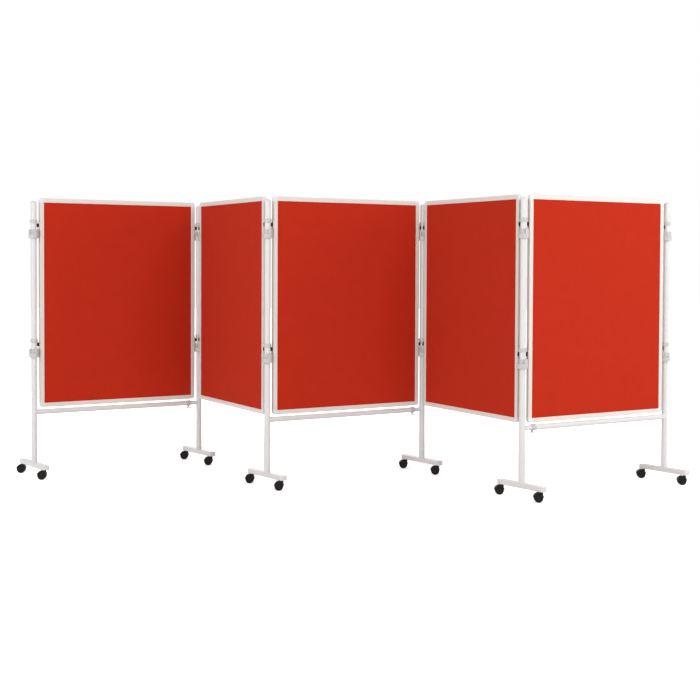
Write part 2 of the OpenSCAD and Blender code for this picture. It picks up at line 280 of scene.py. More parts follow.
def extrude(section: Array, stations: Array) -> Skin:
    """Carries a closed section of (x, y) pairs straight up Z through the given heights."""
    rows = np.broadcast_to(section, (len(stations), *section.shape))
    height = np.broadcast_to(stations[:, None, None], (*rows.shape[:2], 1))
    return Skin(np.concatenate([rows, height], axis=-1))


def tube(outer: float, inner: float, low: float, high: float, edge: float,
         count: int) -> Skin:
    """A tube about Z.

    Args:
        outer, inner: Its radii.
        low, high: Heights of its ends.
        edge: Cut of the softened rims.
        count: Points round the axis.
    """
    loop = np.array([(inner, low), (outer, low), (outer, high), (inner, high)])
    return revolve(soften(loop, edge), count, ring=True)


CORD = 8  # points round the cord of a weld bead
RIPPLE = 0.1  # how far its radius rises and falls, as a share of it


def bead(path: Array, outward: Array, along: Array, radius: float, scales: int) -> Skin:
    """A weld bead: a round cord laid along a closed path, its thickness rising and falling.

    A point of the cord is path + r * (cos t * outward + sin t * along). The angle t goes once
    round the cord and s once round the path, with r = radius * (1 + RIPPLE * sin(scales * s)).

    Args:
        path: Closed path, n by 3.
        outward, along: Two unit vectors across the path at each point, n by 3.
        radius: Mean radius of the cord.
        scales: Number of ripples round the path.
    """
    t = round_angles(CORD)[None, :, None]
    s = round_angles(len(path))[:, None, None]
    r = radius * (1 + RIPPLE * np.sin(scales * s))
    cord = path[:, None] + r * (np.cos(t) * outward[:, None] + np.sin(t) * along[:, None])
    return Skin(cord, ring=True)


def add_object(name: str, data: bpy.types.ID, pose: Array | None = None) -> bpy.types.Object:
    """Adds an object to the scene, at a 4 by 4 matrix if one is given."""
    thing = bpy.data.objects.new(name, data)
    bpy.context.scene.collection.objects.link(thing)
    if pose is not None:
        thing.matrix_world = [list(line) for line in pose.T]
    return thing


@dataclass
class Piece:
    """A mesh object grown from closed surfaces, and what it rides on.

    Attributes:
        name: The object's name.
        body: The body that it moves with.
        slot: The record's material slot. Not used.
        replaces: The nodes that it stands for.
        skins: Its surfaces.
        sharp: Angle in degrees past which an edge stays sharp.
    """

    name: str
    body: str
    slot: str
    replaces: tuple[str, ...] = ()
    skins: list[Skin] = field(default_factory=list)
    sharp: float = 38.0

    def add(self, *skins: Skin, at: Array | None = None) -> None:
        """Adds surfaces, moved by a matrix if one is given."""
        self.skins += [s if at is None else s.moved(at) for s in skins]

    def build(self, finish: bpy.types.Material) -> None:
        """Makes the mesh, dresses it and hands it to its body."""
        points, faces, chart = [], [], []
        start = 0
        for skin in self.skins:
            step = -1 if skin.inside_out() else 1
            quads, places, caps = skin.quads(), skin.chart(), skin.caps()
            points.append(skin.points.reshape(-1, 3))
            faces += (quads[:, ::step] + start).tolist()
            faces += [(cap[::step] + start).tolist() for cap in caps]
            chart += [places[:, ::step].reshape(-1, 2)]
            chart += [np.zeros((len(cap), 2)) for cap in caps]
            start += len(points[-1])
        mesh = bpy.data.meshes.new(self.name)
        mesh.from_pydata(np.concatenate(points).tolist(), [], faces)
        mesh.uv_layers.new(name="UVMap").data.foreach_set("uv", np.concatenate(chart).ravel())
        mesh.polygons.foreach_set("use_smooth", np.ones(len(faces), bool))
        mesh.set_sharp_from_angle(angle=math.radians(self.sharp))
        mesh.materials.append(finish)
        mesh.update()
        thing = add_object(self.name, mesh)
        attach(thing, self.body)
        if self.replaces:
            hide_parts(*self.replaces)
        LOG.info("%s: %d faces, rides on %s", self.name, len(faces), self.body)


# ---------- finishes ----------


Socket = bpy.types.NodeSocket
Feed = Socket | float | tuple[float, ...]


class Network:
    """A shader node tree under construction.

    Attributes:
        tree: The node tree.
    """

    def __init__(self, tree: bpy.types.NodeTree) -> None:
        """Keeps the tree."""
        self.tree = tree

    def feed(self, node: bpy.types.Node, feeds: dict[str | int, Feed]) -> None:
        """Links or sets a node's inputs.

        Args:
            node: The node.
            feeds: A socket or a plain value for each input, by the input's name or number.
        """
        for label, value in feeds.items():
            if isinstance(value, Socket):
                self.tree.links.new(value, node.inputs[label])
            else:
                node.inputs[label].default_value = value

    def node(self, kind: str, feeds: dict[str | int, Feed] | None = None,
             **settings: object) -> bpy.types.Node:
        """Adds a node, sets its properties and feeds its inputs."""
        made = self.tree.nodes.new(kind)
        for name, value in settings.items():
            setattr(made, name, value)
        self.feed(made, feeds or {})
        return made

    def place(self) -> Socket:
        """Adds the place on the object, in metres."""
        return self.node("ShaderNodeTexCoord").outputs["Object"]

    def math(self, operation: str, a: Feed, b: Feed) -> Socket:
        """Adds a calculation with two sockets or numbers and returns its result."""
        return self.node("ShaderNodeMath", {0: a, 1: b}, operation=operation).outputs["Value"]

    def ramp(self, value: Socket, source: Span, target: Span, **settings: object) -> Socket:
        """Adds a rescaling of a value from one span of numbers to another."""
        feeds = {"Value": value, "From Min": source[0], "From Max": source[1],
                 "To Min": target[0], "To Max": target[1]}
        return self.node("ShaderNodeMapRange", feeds, **settings).outputs["Result"]

    def bump(self, height: Socket, distance: float) -> Socket:
        """Adds a relief of the given height in metres and returns its normal."""
        feeds = {"Height": height, "Distance": distance}
        return self.node("ShaderNodeBump", feeds).outputs["Normal"]

    def shade(self, colour: Feed, brightness: Socket) -> Socket:
        """Adds a change of a colour's brightness by a factor."""
        feeds = {"Color": colour, "Value": brightness}
        return self.node("ShaderNodeHueSaturation", feeds).outputs["Color"]


class Sockets(Enum):
    """The kinds of socket that a shader group has."""

    NUMBER = "NodeSocketFloat"
    COLOUR = "NodeSocketColor"
    VECTOR = "NodeSocketVector"


class Effect(Network):
    """A shader node group under construction, with a Place input for its noises.

    Attributes:
        given: The group's inputs, as sockets inside it.
        end: The node that the group's results are fed to.
    """

    def __init__(self, name: str, inputs: dict[str, Sockets], outputs: dict[str, Sockets]) -> None:
        """Makes the group and its sockets.

        Args:
            name: The group's name.
            inputs, outputs: Socket names and their kinds, the inputs besides Place.
        """
        super().__init__(bpy.data.node_groups.new(name, "ShaderNodeTree"))
        inputs = {"Place": Sockets.VECTOR} | inputs
        for direction, sockets in (("INPUT", inputs), ("OUTPUT", outputs)):
            for label, kind in sockets.items():
                self.tree.interface.new_socket(label, in_out=direction, socket_type=kind.value)
        self.given = self.tree.nodes.new("NodeGroupInput").outputs
        self.end = self.tree.nodes.new("NodeGroupOutput")

    def noise(self, cells: Feed, detail: float, roughness: float = 0.5,
              stretch: Triple = (1, 1, 1)) -> Socket:
        """Adds noise on the group's Place input.

        Args:
            cells: Cells per metre.
            detail, roughness: As on the noise node.
            stretch: Factors on the three directions.

        Returns:
            The noise's value, spread about 0.5.
        """
        place = self.node("ShaderNodeMapping", {"Vector": self.given["Place"], "Scale": stretch})
        noise = self.node("ShaderNodeTexNoise", {
            "Vector": place.outputs["Vector"], "Scale": cells, "Detail": detail,
            "Roughness": roughness,
        })
        return noise.outputs["Fac"]


def scatter_effect() -> bpy.types.NodeTree:
    """A group that varies a colour and a roughness over a surface.

    Two noises, one coarse for patches and one fine for grain, are centred on nought, weighed
    and added. The colour's brightness rises and falls with the sum, and the roughness with
    the coarse noise.
    """
    patches, grains = 7, 420
    effect = Effect(
        "uneven_finish",
        {"Colour": Sockets.COLOUR, "Roughness": Sockets.NUMBER, "Patches": Sockets.NUMBER,
         "Grain": Sockets.NUMBER, "Wander": Sockets.NUMBER},
        {"Colour": Sockets.COLOUR, "Roughness": Sockets.NUMBER},
    )
    given = effect.given
    coarse = effect.math("SUBTRACT", effect.noise(patches, 3), 0.5)
    fine = effect.math("SUBTRACT", effect.noise(grains, 2), 0.5)
    swing = effect.math("ADD", effect.math("MULTIPLY", coarse, given["Patches"]),
                        effect.math("MULTIPLY", fine, given["Grain"]))
    wander = effect.math("MULTIPLY", coarse, given["Wander"])
    effect.feed(effect.end, {
        "Colour": effect.shade(given["Colour"], effect.math("ADD", swing, 1.0)),
        "Roughness": effect.math("ADD", wander, given["Roughness"]),
    })
    return effect.tree


def relief_effect() -> bpy.types.NodeTree:
    """A group that gives a height for fine relief, such as orange peel or moulded grain.

    Two noises, the second with cells a third of the first's size, are added three to one.
    """
    effect = Effect("fine_relief", {"Cells": Sockets.NUMBER}, {"Height": Sockets.NUMBER})
    parts = []
    for factor, share in ((1.0, 0.75), (3.0, 0.25)):
        cells = effect.math("MULTIPLY", effect.given["Cells"], factor)
        parts.append(effect.math("MULTIPLY", effect.noise(cells, 1.5), share))
    effect.feed(effect.end, {"Height": effect.math("ADD", *parts)})
    return effect.tree


def fibre_effect() -> bpy.types.NodeTree:
    """A group for pressed felt: a mask of matted fibres and their height. The felt also paints
    shade and light into its colour from the mask.

    Three noises stretched in different directions cross each other, and the largest one wins
    at every place, as the uppermost fibre does. Broad noise makes clouds.
    """
    effect = Effect("matted_fibres", {}, {"Fibres": Sockets.NUMBER, "Clouds": Sockets.NUMBER})
    detail, roughness = 3, 0.6
    across, upright, slanted = (
        effect.noise(cells, detail, roughness, stretch)
        for cells, stretch in ((900, (0.35, 1, 1)), (900, (1, 1, 0.35)), (650, (0.6, 0.6, 1.3)))
    )
    top = effect.math("MAXIMUM", effect.math("MAXIMUM", across, upright), slanted)
    clouds = effect.noise(14, detail + 1, roughness)
    effect.feed(effect.end, {"Fibres": top, "Clouds": clouds})
    return effect.tree


@dataclass
class Workshop:
    """The shader groups, made once and shared by the materials."""

    uneven: bpy.types.NodeTree = field(default_factory=scatter_effect)
    relief: bpy.types.NodeTree = field(default_factory=relief_effect)
    fibres: bpy.types.NodeTree = field(default_factory=fibre_effect)


def blank_material(name: str) -> tuple[bpy.types.Material, Network, bpy.types.Node]:
    """Returns a new material, its node tree and its Principled shader."""
    made = bpy.data.materials.new(name)
    made.use_nodes = True
    return made, Network(made.node_tree), made.node_tree.nodes["Principled BSDF"]


@dataclass(frozen=True)
class Coat:
    """A hard finish: paint, moulded plastic, metal or rubber.

    Attributes:
        name: The material's name.
        colour: Base colour, linear.
        roughness: Mean roughness.
        metallic: 0 or 1.
        patches: How far broad patches change the brightness.
        grain: How far fine grain changes it.
        wander: How far the roughness changes.
        cells: Cells of the relief per metre.
        relief: Height of the relief.
        specular: Specular level.
    """

    name: str
    colour: Triple
    roughness: float
    metallic: float = 0.0
    patches: float = 0.03
    grain: float = 0.02
    wander: float = 0.1
    cells: float = 600.0
    relief: float = 0.02 * MM
    specular: float = 0.5

    def material(self, shop: Workshop) -> bpy.types.Material:
        """Builds the material from the shared groups."""
        made, net, shader = blank_material(self.name)
        place = net.place()
        uneven = net.node("ShaderNodeGroup", node_tree=shop.uneven)
        relief = net.node("ShaderNodeGroup", node_tree=shop.relief)
        net.feed(uneven, {
            "Place": place, "Colour": (*self.colour, 1), "Roughness": self.roughness,
            "Patches": self.patches, "Grain": self.grain, "Wander": self.wander,
        })
        net.feed(relief, {"Place": place, "Cells": self.cells})
        net.feed(shader, {
            "Base Color": uneven.outputs["Colour"], "Roughness": uneven.outputs["Roughness"],
            "Metallic": self.metallic, "Specular IOR Level": self.specular,
            "Normal": net.bump(relief.outputs["Height"], self.relief),
        })
        return made


@dataclass(frozen=True)
class Felt:
    """Felt glued to a board: matted fibres, with painted shade between them and painted light on
    their tops.

    Attributes:
        name: The material's name.
        colour: Colour of the felt, linear.
        pile: Height of the fibres.
        fibres: Span of the fibre mask, and the brightness at its ends: painted shade on low fibres,
            painted light on high ones.
        clouds: Span of the broad noise, and the brightness at its ends.
        sheen_tint: Colour of the faint sheen.
    """

    name: str
    colour: Triple
    pile: float
    fibres: tuple[Span, Span] = ((0.35, 0.75), (0.80, 1.16))
    clouds: tuple[Span, Span] = ((0.3, 0.7), (0.97, 1.03))
    sheen_tint: Triple = (1.0, 0.45, 0.35)

    def material(self, shop: Workshop) -> bpy.types.Material:
        """Builds the material: the fibre mask drives the bump and paints shade and light into the
        colour.
        """
        made, net, shader = blank_material(self.name)
        mat = net.node("ShaderNodeGroup", node_tree=shop.fibres)
        net.feed(mat, {"Place": net.place()})
        # painted shade and light: the colour follows the fibres' height, darker where they lie low,
        # lighter where they stand up
        painted_fibre_shade = net.ramp(mat.outputs["Fibres"], *self.fibres)
        cloud = net.ramp(mat.outputs["Clouds"], *self.clouds)
        net.feed(shader, {
            "Base Color": net.shade((*self.colour, 1), net.math("MULTIPLY", painted_fibre_shade, cloud)),
            "Normal": net.bump(mat.outputs["Fibres"], self.pile),
            "Roughness": 0.95, "Specular IOR Level": 0.05, "Sheen Weight": 0.05,
            "Sheen Roughness": 0.6, "Sheen Tint": (*self.sheen_tint, 1),
        })
        return made


Finishes = dict[str, bpy.types.Material]

RECIPES: dict[str, Coat | Felt] = {
    "felt": Felt("red_felt", (0.468, 0.0245, 0.0082), 0.6 * MM),
    "paint": Coat("powder_coat", (0.67, 0.655, 0.652), 0.40, cells=900, relief=0.06 * MM,
                  specular=0.35),
    "profile": Coat("edge_profile", (0.705, 0.65, 0.60), 0.38, cells=500, specular=0.25),
    "corner": Coat("corner_plastic", (0.72, 0.70, 0.69), 0.5, cells=1500, relief=0.04 * MM),
    "cap": Coat("grey_cap", (0.64, 0.64, 0.64), 0.5, cells=1500, relief=0.04 * MM),
    "collar": Coat("grey_collar", (0.50, 0.495, 0.485), 0.42, cells=1200, relief=0.04 * MM,
                   patches=0.08),
    "steel": Coat("plate_steel", (0.60, 0.59, 0.58), 0.38, metallic=1.0, patches=0.06,
                  cells=2500),
    "zinc": Coat("zinc_screw", (0.55, 0.54, 0.52), 0.35, metallic=1.0, patches=0.1),
    "hook": Coat("black_hook", (0.008, 0.008, 0.008), 0.45, cells=1500, relief=0.04 * MM,
                 specular=0.25),
    "caster_body": Coat("caster_body", (0.009, 0.008, 0.008), 0.5, cells=1500,
                        relief=0.05 * MM, specular=0.2),
    "tyre": Coat("caster_wheel", (0.012, 0.0105, 0.0105), 0.6, cells=1200, relief=0.04 * MM,
                 patches=0.2, specular=0.15),
}


def make_finishes() -> Finishes:
    """Makes every material of the partition, each once."""
    shop = Workshop()
    return {key: recipe.material(shop) for key, recipe in RECIPES.items()}


# ---------- the row ----------


class Stand(Enum):
    """The three wheeled stands, each by its number."""

    LEFT = 0
    MIDDLE = 1
    RIGHT = 2

    @property
    def key(self) -> str:
        """The stand's name in the nodes."""
        return self.name.lower()

    @property
    def body(self) -> str:
        """The body that carries the stand."""
        return "stand_" + self.key

    @property
    def panel(self) -> "Panel":
        """The panel fixed to the stand."""
        return Panel(2 * self.value)


class Panel(Enum):
    """The five panels from left to right, each by its number."""

    LEFT = 0
    LEFT_LINK = 1
    MIDDLE = 2
    RIGHT_LINK = 3
    RIGHT = 4

    @property
    def key(self) -> str:
        """The panel's name in the nodes."""
        return self.name.lower()

    @property
    def body(self) -> str:
        """The body that carries the panel."""
        side = self.key.replace("_link", "")
        return ("link_" if "link" in self.key else "stand_") + side


POSTS = range(1, 7)
ENDS = ("front", "rear")
CONNECTORS = (288 * MM, 970 * MM)  # their feet over the panels' lower edge


class Row:
    """Where the posts, stems and panels stand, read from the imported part.

    Attributes:
        stems: Each caster stem's place, by the number of its post and the end of its foot bar.
        posts: The posts' places from left to right.
        lower_edge: Height of the panels' lower edge.
        panel_middle: Height of the panels' middle.
    """

    def __init__(self) -> None:
        """Reads the caster joints and a panel's box. A post stands midway between two stems."""
        spots = {joint["name"]: np.array(joint["pos_m"][:2]) for joint in frame["joints"]}
        self.stems = {(i, end): spots[f"swivel_{i}_{end}"] for i in POSTS for end in ENDS}
        self.posts = [(self.stems[i, "front"] + self.stems[i, "rear"]) / 2 for i in POSTS]
        low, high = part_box("middle_frame")
        self.lower_edge = low.z
        self.panel_middle = (low.z + high.z) / 2

    def pitch(self, panel: Panel) -> float:
        """Returns the distance between a panel's two posts."""
        return float(np.linalg.norm(self.posts[panel.value + 1] - self.posts[panel.value]))

    def panel_place(self, panel: Panel) -> Array:
        """Returns the matrix of a panel: local +X along it, local -Y its front, z on the floor."""
        left, right = self.posts[panel.value], self.posts[panel.value + 1]
        along = right - left
        middle = (left + right) / 2
        yaw = math.degrees(math.atan2(along[1], along[0]))
        return move(*middle) @ turn(Axis.Z, yaw)

    def post_places(self, panel: Panel) -> list[Array]:
        """Returns the matrices of a panel's two posts, each with local +X towards the panel."""
        place, half = self.panel_place(panel), self.pitch(panel) / 2
        return [place @ turn(Axis.Z, angle) @ move(x=-half) for angle in (0, 180)]

    def connector_places(self, post: Array) -> list[Array]:
        """Returns the matrices of the two connectors on a post, from the post's own."""
        return [post @ move(z=self.lower_edge + rise) for rise in CONNECTORS]


@dataclass(frozen=True)
class Works:
    """A builder of pieces.

    Attributes:
        row: Where the posts and panels stand.
        finishes: The materials, by the keys of RECIPES.
    """

    row: Row
    finishes: Finishes


# ---------- panels ----------


RIM_LINES = (0, 0.5, 0.9, 1.0, 1.1, 1.25, 1.5, 1.9, 2.5, 3.5)  # grid lines, in widths of the rim
INNER_LINES = 16  # from the last of them to the board's middle


@dataclass(frozen=True)
class Board:
    """A soft board with felt on both faces, tucked into the frame's groove.

    Attributes:
        width, height: Size of the board.
        thickness: Distance between the felt faces.
        rim: How far its edge is buried in the groove.
        pinch: How deep the frame's lip presses the felt on each face.
        fade: Distance in which the felt rises again.
        ripple: Height of the faint waves in the face.
        calm: Width of the band along the rim in which they fade out.
    """

    width: float = 974.4 * MM
    height: float = 1174.4 * MM
    thickness: float = 16 * MM
    rim: float = 12.2 * MM
    pinch: float = 1.05 * MM
    fade: float = 3.0 * MM
    ripple: float = 0.12 * MM
    calm: float = 50 * MM

    def stations(self, length: float) -> Array:
        """Places of the grid's lines along one side: close together where the felt dips."""
        near = np.array(RIM_LINES) * self.rim
        inner = np.linspace(near[-1], length / 2, INNER_LINES)[1:]
        half = np.concatenate([near, inner]) - length / 2
        return np.concatenate([half, -half[-2::-1]])

    def skin(self) -> Skin:
        """The felt as a loop of two faces, carried across the board.

        The half thickness is a constant, less pinch * exp(-distance past the lip / fade), and
        all of the pinch under the lip. Sines of different lengths add the ripple.
        """
        x, z = self.stations(self.width), self.stations(self.height)
        across, up = np.meshgrid(x, z, indexing="ij")
        inside = np.minimum(self.width / 2 - abs(across), self.height / 2 - abs(up)) - self.rim
        dip = self.pinch * np.exp(-np.clip(inside, 0, None) / self.fade)
        wave = np.sin(9 * across + 2) * np.sin(7 * up) + 0.5 * np.sin(23 * across - 17 * up)
        wave *= self.ripple * np.clip(inside / self.calm, 0, 1)
        half = self.thickness / 2 - dip
        front = np.stack([across, -half + wave, up], axis=-1)
        back = np.stack([across, half + wave, up], axis=-1)
        return Skin(np.concatenate([front, back[:, ::-1]], axis=1))


@dataclass(frozen=True)
class EdgeFrame:
    """Four lengths of edge profile and four moulded corner pieces.

    Attributes:
        width, height: Outer size of the panel.
        depth: Depth of the profile, front to back.
        face: Its width seen from the front.
        groove, groove_depth: Width and depth of the groove that holds the board.
        slot, slot_depth: Width and depth of the slot along the profile's outer side.
        rounding, lip: Radii of the profile's outer and inner edges.
        groove_edge, slot_edge, floor_edge: Radii at the mouths of the groove and the slot, and
            at their floors.
        corner, bend: Outer radius of a corner piece, and its least radius inside.
        leg: Length of a corner piece's arms.
        seam: Gap between a corner piece and the profile.
    """

    width: float = 1000 * MM
    height: float = 1200 * MM
    depth: float = 20 * MM
    face: float = 25 * MM
    groove: float = 14.2 * MM
    groove_depth: float = 12.5 * MM
    slot: float = 9 * MM
    slot_depth: float = 3 * MM
    rounding: float = 2.5 * MM
    lip: float = 1.1 * MM
    groove_edge: float = 0.3 * MM
    slot_edge: float = 0.4 * MM
    floor_edge: float = 0.2 * MM
    corner: float = 18 * MM
    bend: float = 0.6 * MM
    leg: float = 30 * MM
    seam: float = 0.35 * MM

    def section(self, slotted: bool) -> Array:
        """The outline of the profile or of a corner: x from the rim inwards, y front to back.

        Args:
            slotted: True for the profile, which has a slot on its outer side.
        """
        d, g, s = self.depth / 2, self.groove / 2, self.slot / 2
        floor = self.face - self.groove_depth
        front = [(0, -d, self.rounding), (self.face, -d, self.lip),
                 (self.face, -g, self.groove_edge), (floor, -g, self.floor_edge)]
        corners = front + [(x, -y, r) for x, y, r in front[::-1]]
        if slotted:
            back = [(0, s, self.slot_edge), (self.slot_depth, s, self.floor_edge)]
            corners += back + [(x, -y, r) for x, y, r in back[::-1]]
        table = np.array(corners)
        return soften(table[:, :2], table[:, 2])

    def length(self, size: float) -> Skin:
        """A profile along Z, its rim on x = 0, for a side of the given length."""
        end = size / 2 - self.leg - self.seam
        return extrude(self.section(slotted=True), np.linspace(-end, end, 9))

    def corner_piece(self, steps: int = 10) -> Skin:
        """The profile's section carried round a corner at the origin, its arms along +X and +Z.

        A point at the depth u under the rim follows the rim's outline moved inwards by u: a
        straight arm, a quarter circle about (u + r, u + r), and a second arm. Its radius r is
        the corner's less u, but never less than the bend.
        """
        section = self.section(slotted=False)
        u, y = section[:, 0], section[:, 1]
        r = np.maximum(self.corner - u, self.bend)
        angle = np.linspace(0, np.pi / 2, steps + 1)[:, None]
        bend = np.stack([u + r * (1 - np.cos(angle)), np.broadcast_to(y, (steps + 1, len(y))),
                         u + r * (1 - np.sin(angle))], axis=-1)
        end = np.full_like(u, self.leg)
        first = np.stack([u, y, end], axis=-1)
        last = np.stack([end, y, u], axis=-1)
        return Skin(np.concatenate([first[None], bend, last[None]]))

    def sides(self) -> list[Skin]:
        """The four profiles, about the panel's centre."""
        upright = self.length(self.height).moved(move(x=-self.width / 2))
        cross = self.length(self.width).moved(move(x=-self.height / 2))
        return [upright, upright.moved(turn(Axis.Z, 180)),
                cross.moved(turn(Axis.Y, -90)), cross.moved(turn(Axis.Y, 90))]

    def corners(self) -> list[Skin]:
        """The four corner pieces, about the panel's centre."""
        one = self.corner_piece().moved(move(x=-self.width / 2, z=-self.height / 2))
        two = one.moved(flip(Axis.X))
        return [one, two, one.moved(flip(Axis.Z)), two.moved(flip(Axis.Z))]


class PanelWorks(Works):
    """Builds the five panels."""

    board = Board()
    rim = EdgeFrame()

    def build(self, panel: Panel) -> None:
        """Makes the felt board, the profiles and the corner pieces of one panel."""
        key, body = panel.key, panel.body
        place = self.row.panel_place(panel) @ move(z=self.row.panel_middle)
        felt = Piece(f"{key}_felt", body, "red_felt", (f"{key}_board",))
        felt.add(self.board.skin(), at=place)
        felt.build(self.finishes["felt"])
        sides = Piece(f"{key}_profiles", body, "edge_profile", (f"{key}_frame",))
        sides.add(*self.rim.sides(), at=place)
        sides.build(self.finishes["profile"])
        corners = Piece(f"{key}_corners", body, "edge_profile")
        corners.add(*self.rim.corners(), at=place)
        corners.build(self.finishes["corner"])


# ---------- hooks ----------


def cross_head(radius: float, height: float, count: int = 32) -> Skin:
    """A low domed screw head on z = 0 with a cross recess.

    The recess' outline is the star r = a + b * cos(2 t) ** 6 at the angle t: four slim arms.

    Args:
        radius, height: Size of the head.
        count: Points round it.
    """
    star = (0.16 + 0.40 * np.cos(2 * round_angles(count)) ** 6) * radius
    shoulder = np.maximum(0.62 * radius, 1.1 * star)
    return revolve([(radius, 0.0), (radius, 0.35 * height), (0.86 * radius, 0.75 * height),
                    (shoulder, 0.95 * height), (star, height), (0.8 * star, 0.45 * height),
                    (0.3 * star, 0.40 * height)], count)


@dataclass(frozen=True)
class Hook:
    """A hook on a panel's upright, in the frame of its post and connector.

    Attributes:
        edge: Distance from the post's axis to the panel.
        plate: Thickness, width and height of the steel plate under the hook.
        plate_round, plate_edge: Radii of its corners and of its edges.
        screw: Radius and height of the heads of its screws.
        screw_spread: Distance of the screws from its middle.
        body: Reach, width and height of the moulded body.
        body_round, body_back: Radii of its corners towards the post and at the plate.
        body_edge: Radius of its edges.
        low: Height of the body's underside.
        forward: How far the bodies on a link panel lie before its middle plane.
        back: How far the bodies on a stand's panel lie behind its middle plane.
        pin_place: Distance from the post's axis to the pin's.
        pin_radius, pin_tip: Radius of the pin, and the chamfer at its tip.
        stand_pin, link_pin: Heights of the pin's tip on a stand and on a link.
        seat: Gap between pieces that lie on each other.
    """

    edge: float = 34 * MM
    plate: Triple = (2.5 * MM, 15 * MM, 44 * MM)
    plate_round: float = 5 * MM
    plate_edge: float = 0.4 * MM
    screw: Span = (3.4 * MM, 1.3 * MM)
    screw_spread: float = 16 * MM
    body: Triple = (12.6 * MM, 16 * MM, 21 * MM)
    body_round: float = 8 * MM
    body_back: float = 0.8 * MM
    body_edge: float = 2.6 * MM
    low: float = 64 * MM
    forward: float = 4.6 * MM
    back: float = 1.6 * MM
    pin_place: float = 24.6 * MM
    pin_radius: float = 2.5 * MM
    pin_tip: float = 0.8 * MM
    stand_pin: float = 6 * MM
    link_pin: float = 27.3 * MM
    seat: float = 0.05 * MM

    @property
    def middle(self) -> float:
        """Height of the hook's middle."""
        return self.low + self.body[2] / 2

    @property
    def face(self) -> float:
        """Distance from the post's axis to the plate's outer face."""
        return self.edge - self.seat - self.plate[0]

    def plate_skin(self) -> Skin:
        """The plate: a rectangle with round corners, upright on the panel's edge."""
        thick, width, height = self.plate
        outline = soften(rectangle(height, width), self.plate_round, steps=6)
        flat = pillow(outline, 0, thick, self.plate_edge)
        return flat.moved(move(x=self.face, z=self.middle) @ turn(Axis.Y, 90))

    def body_skin(self) -> Skin:
        """The moulded body: its side view, deeply rounded towards the post, made thick."""
        reach, width, height = self.body
        back, low = self.face - self.seat, self.low
        corners = np.array([(back - reach, low), (back, low), (back, low + height),
                            (back - reach, low + height)])
        radii = [self.body_round, self.body_back, self.body_back, self.body_round]
        outline = soften(corners, radii, steps=8)
        body = pillow(outline, -width / 2, width / 2, self.body_edge, steps=5)
        return body.moved(turn(Axis.X, 90))

    def pin_skin(self, low: float) -> Skin:
        """The steel pin, chamfered at its tip, from the given height into the body."""
        r, tip = self.pin_radius, self.pin_tip
        profile = [(r - tip, low), (r, low + tip), (r, self.middle), (r - tip, self.middle + tip)]
        return revolve(profile, count=24).moved(move(x=self.pin_place))

    def screws(self) -> list[Skin]:
        """The two cross-head screws of the plate, their heads towards the post."""
        head = cross_head(*self.screw)
        return [head.moved(move(x=self.face, z=self.middle + side * self.screw_spread)
                           @ turn(Axis.Y, -90)) for side in (-1, 1)]


class HookWorks(Works):
    """Builds the hooks of the five panels: plates, screws, moulded bodies and pins."""

    hook = Hook()

    def build(self, panel: Panel) -> None:
        """Makes the four hooks of one panel, whose front is -Y at its left post, else +Y."""
        hook, key, body = self.hook, panel.key, panel.body
        link = "link" in key
        tip = hook.link_pin if link else hook.stand_pin
        forward = hook.forward if link else -hook.back
        bodies = Piece(f"{key}_hook_bodies", body, "black_hook", (f"{key}_hooks",))
        pins = Piece(f"{key}_hook_pins", body, "zinc_screw")
        plates = Piece(f"{key}_hook_plates", body, "edge_profile")
        screws = Piece(f"{key}_plate_screws", body, "zinc_screw")
        for post, front in zip(self.row.post_places(panel), (-1, 1)):
            for place in self.row.connector_places(post):
                bodies.add(hook.body_skin(), at=place @ move(y=front * forward))
                pins.add(hook.pin_skin(tip), at=place)
                plates.add(hook.plate_skin(), at=place)
                screws.add(*hook.screws(), at=place)
        bodies.build(self.finishes["hook"])
        pins.build(self.finishes["zinc"])
        plates.build(self.finishes["steel"])
        screws.build(self.finishes["zinc"])


# ---------- stands ----------


HOOP = 48  # points round a rail or a stub


def hoop(radius: float, x: Array | float) -> Array:
    """Returns a circle about X, HOOP by 3, at one x or at an x for each of its points."""
    return np.column_stack([np.broadcast_to(x, HOOP), circle(radius, HOOP)])


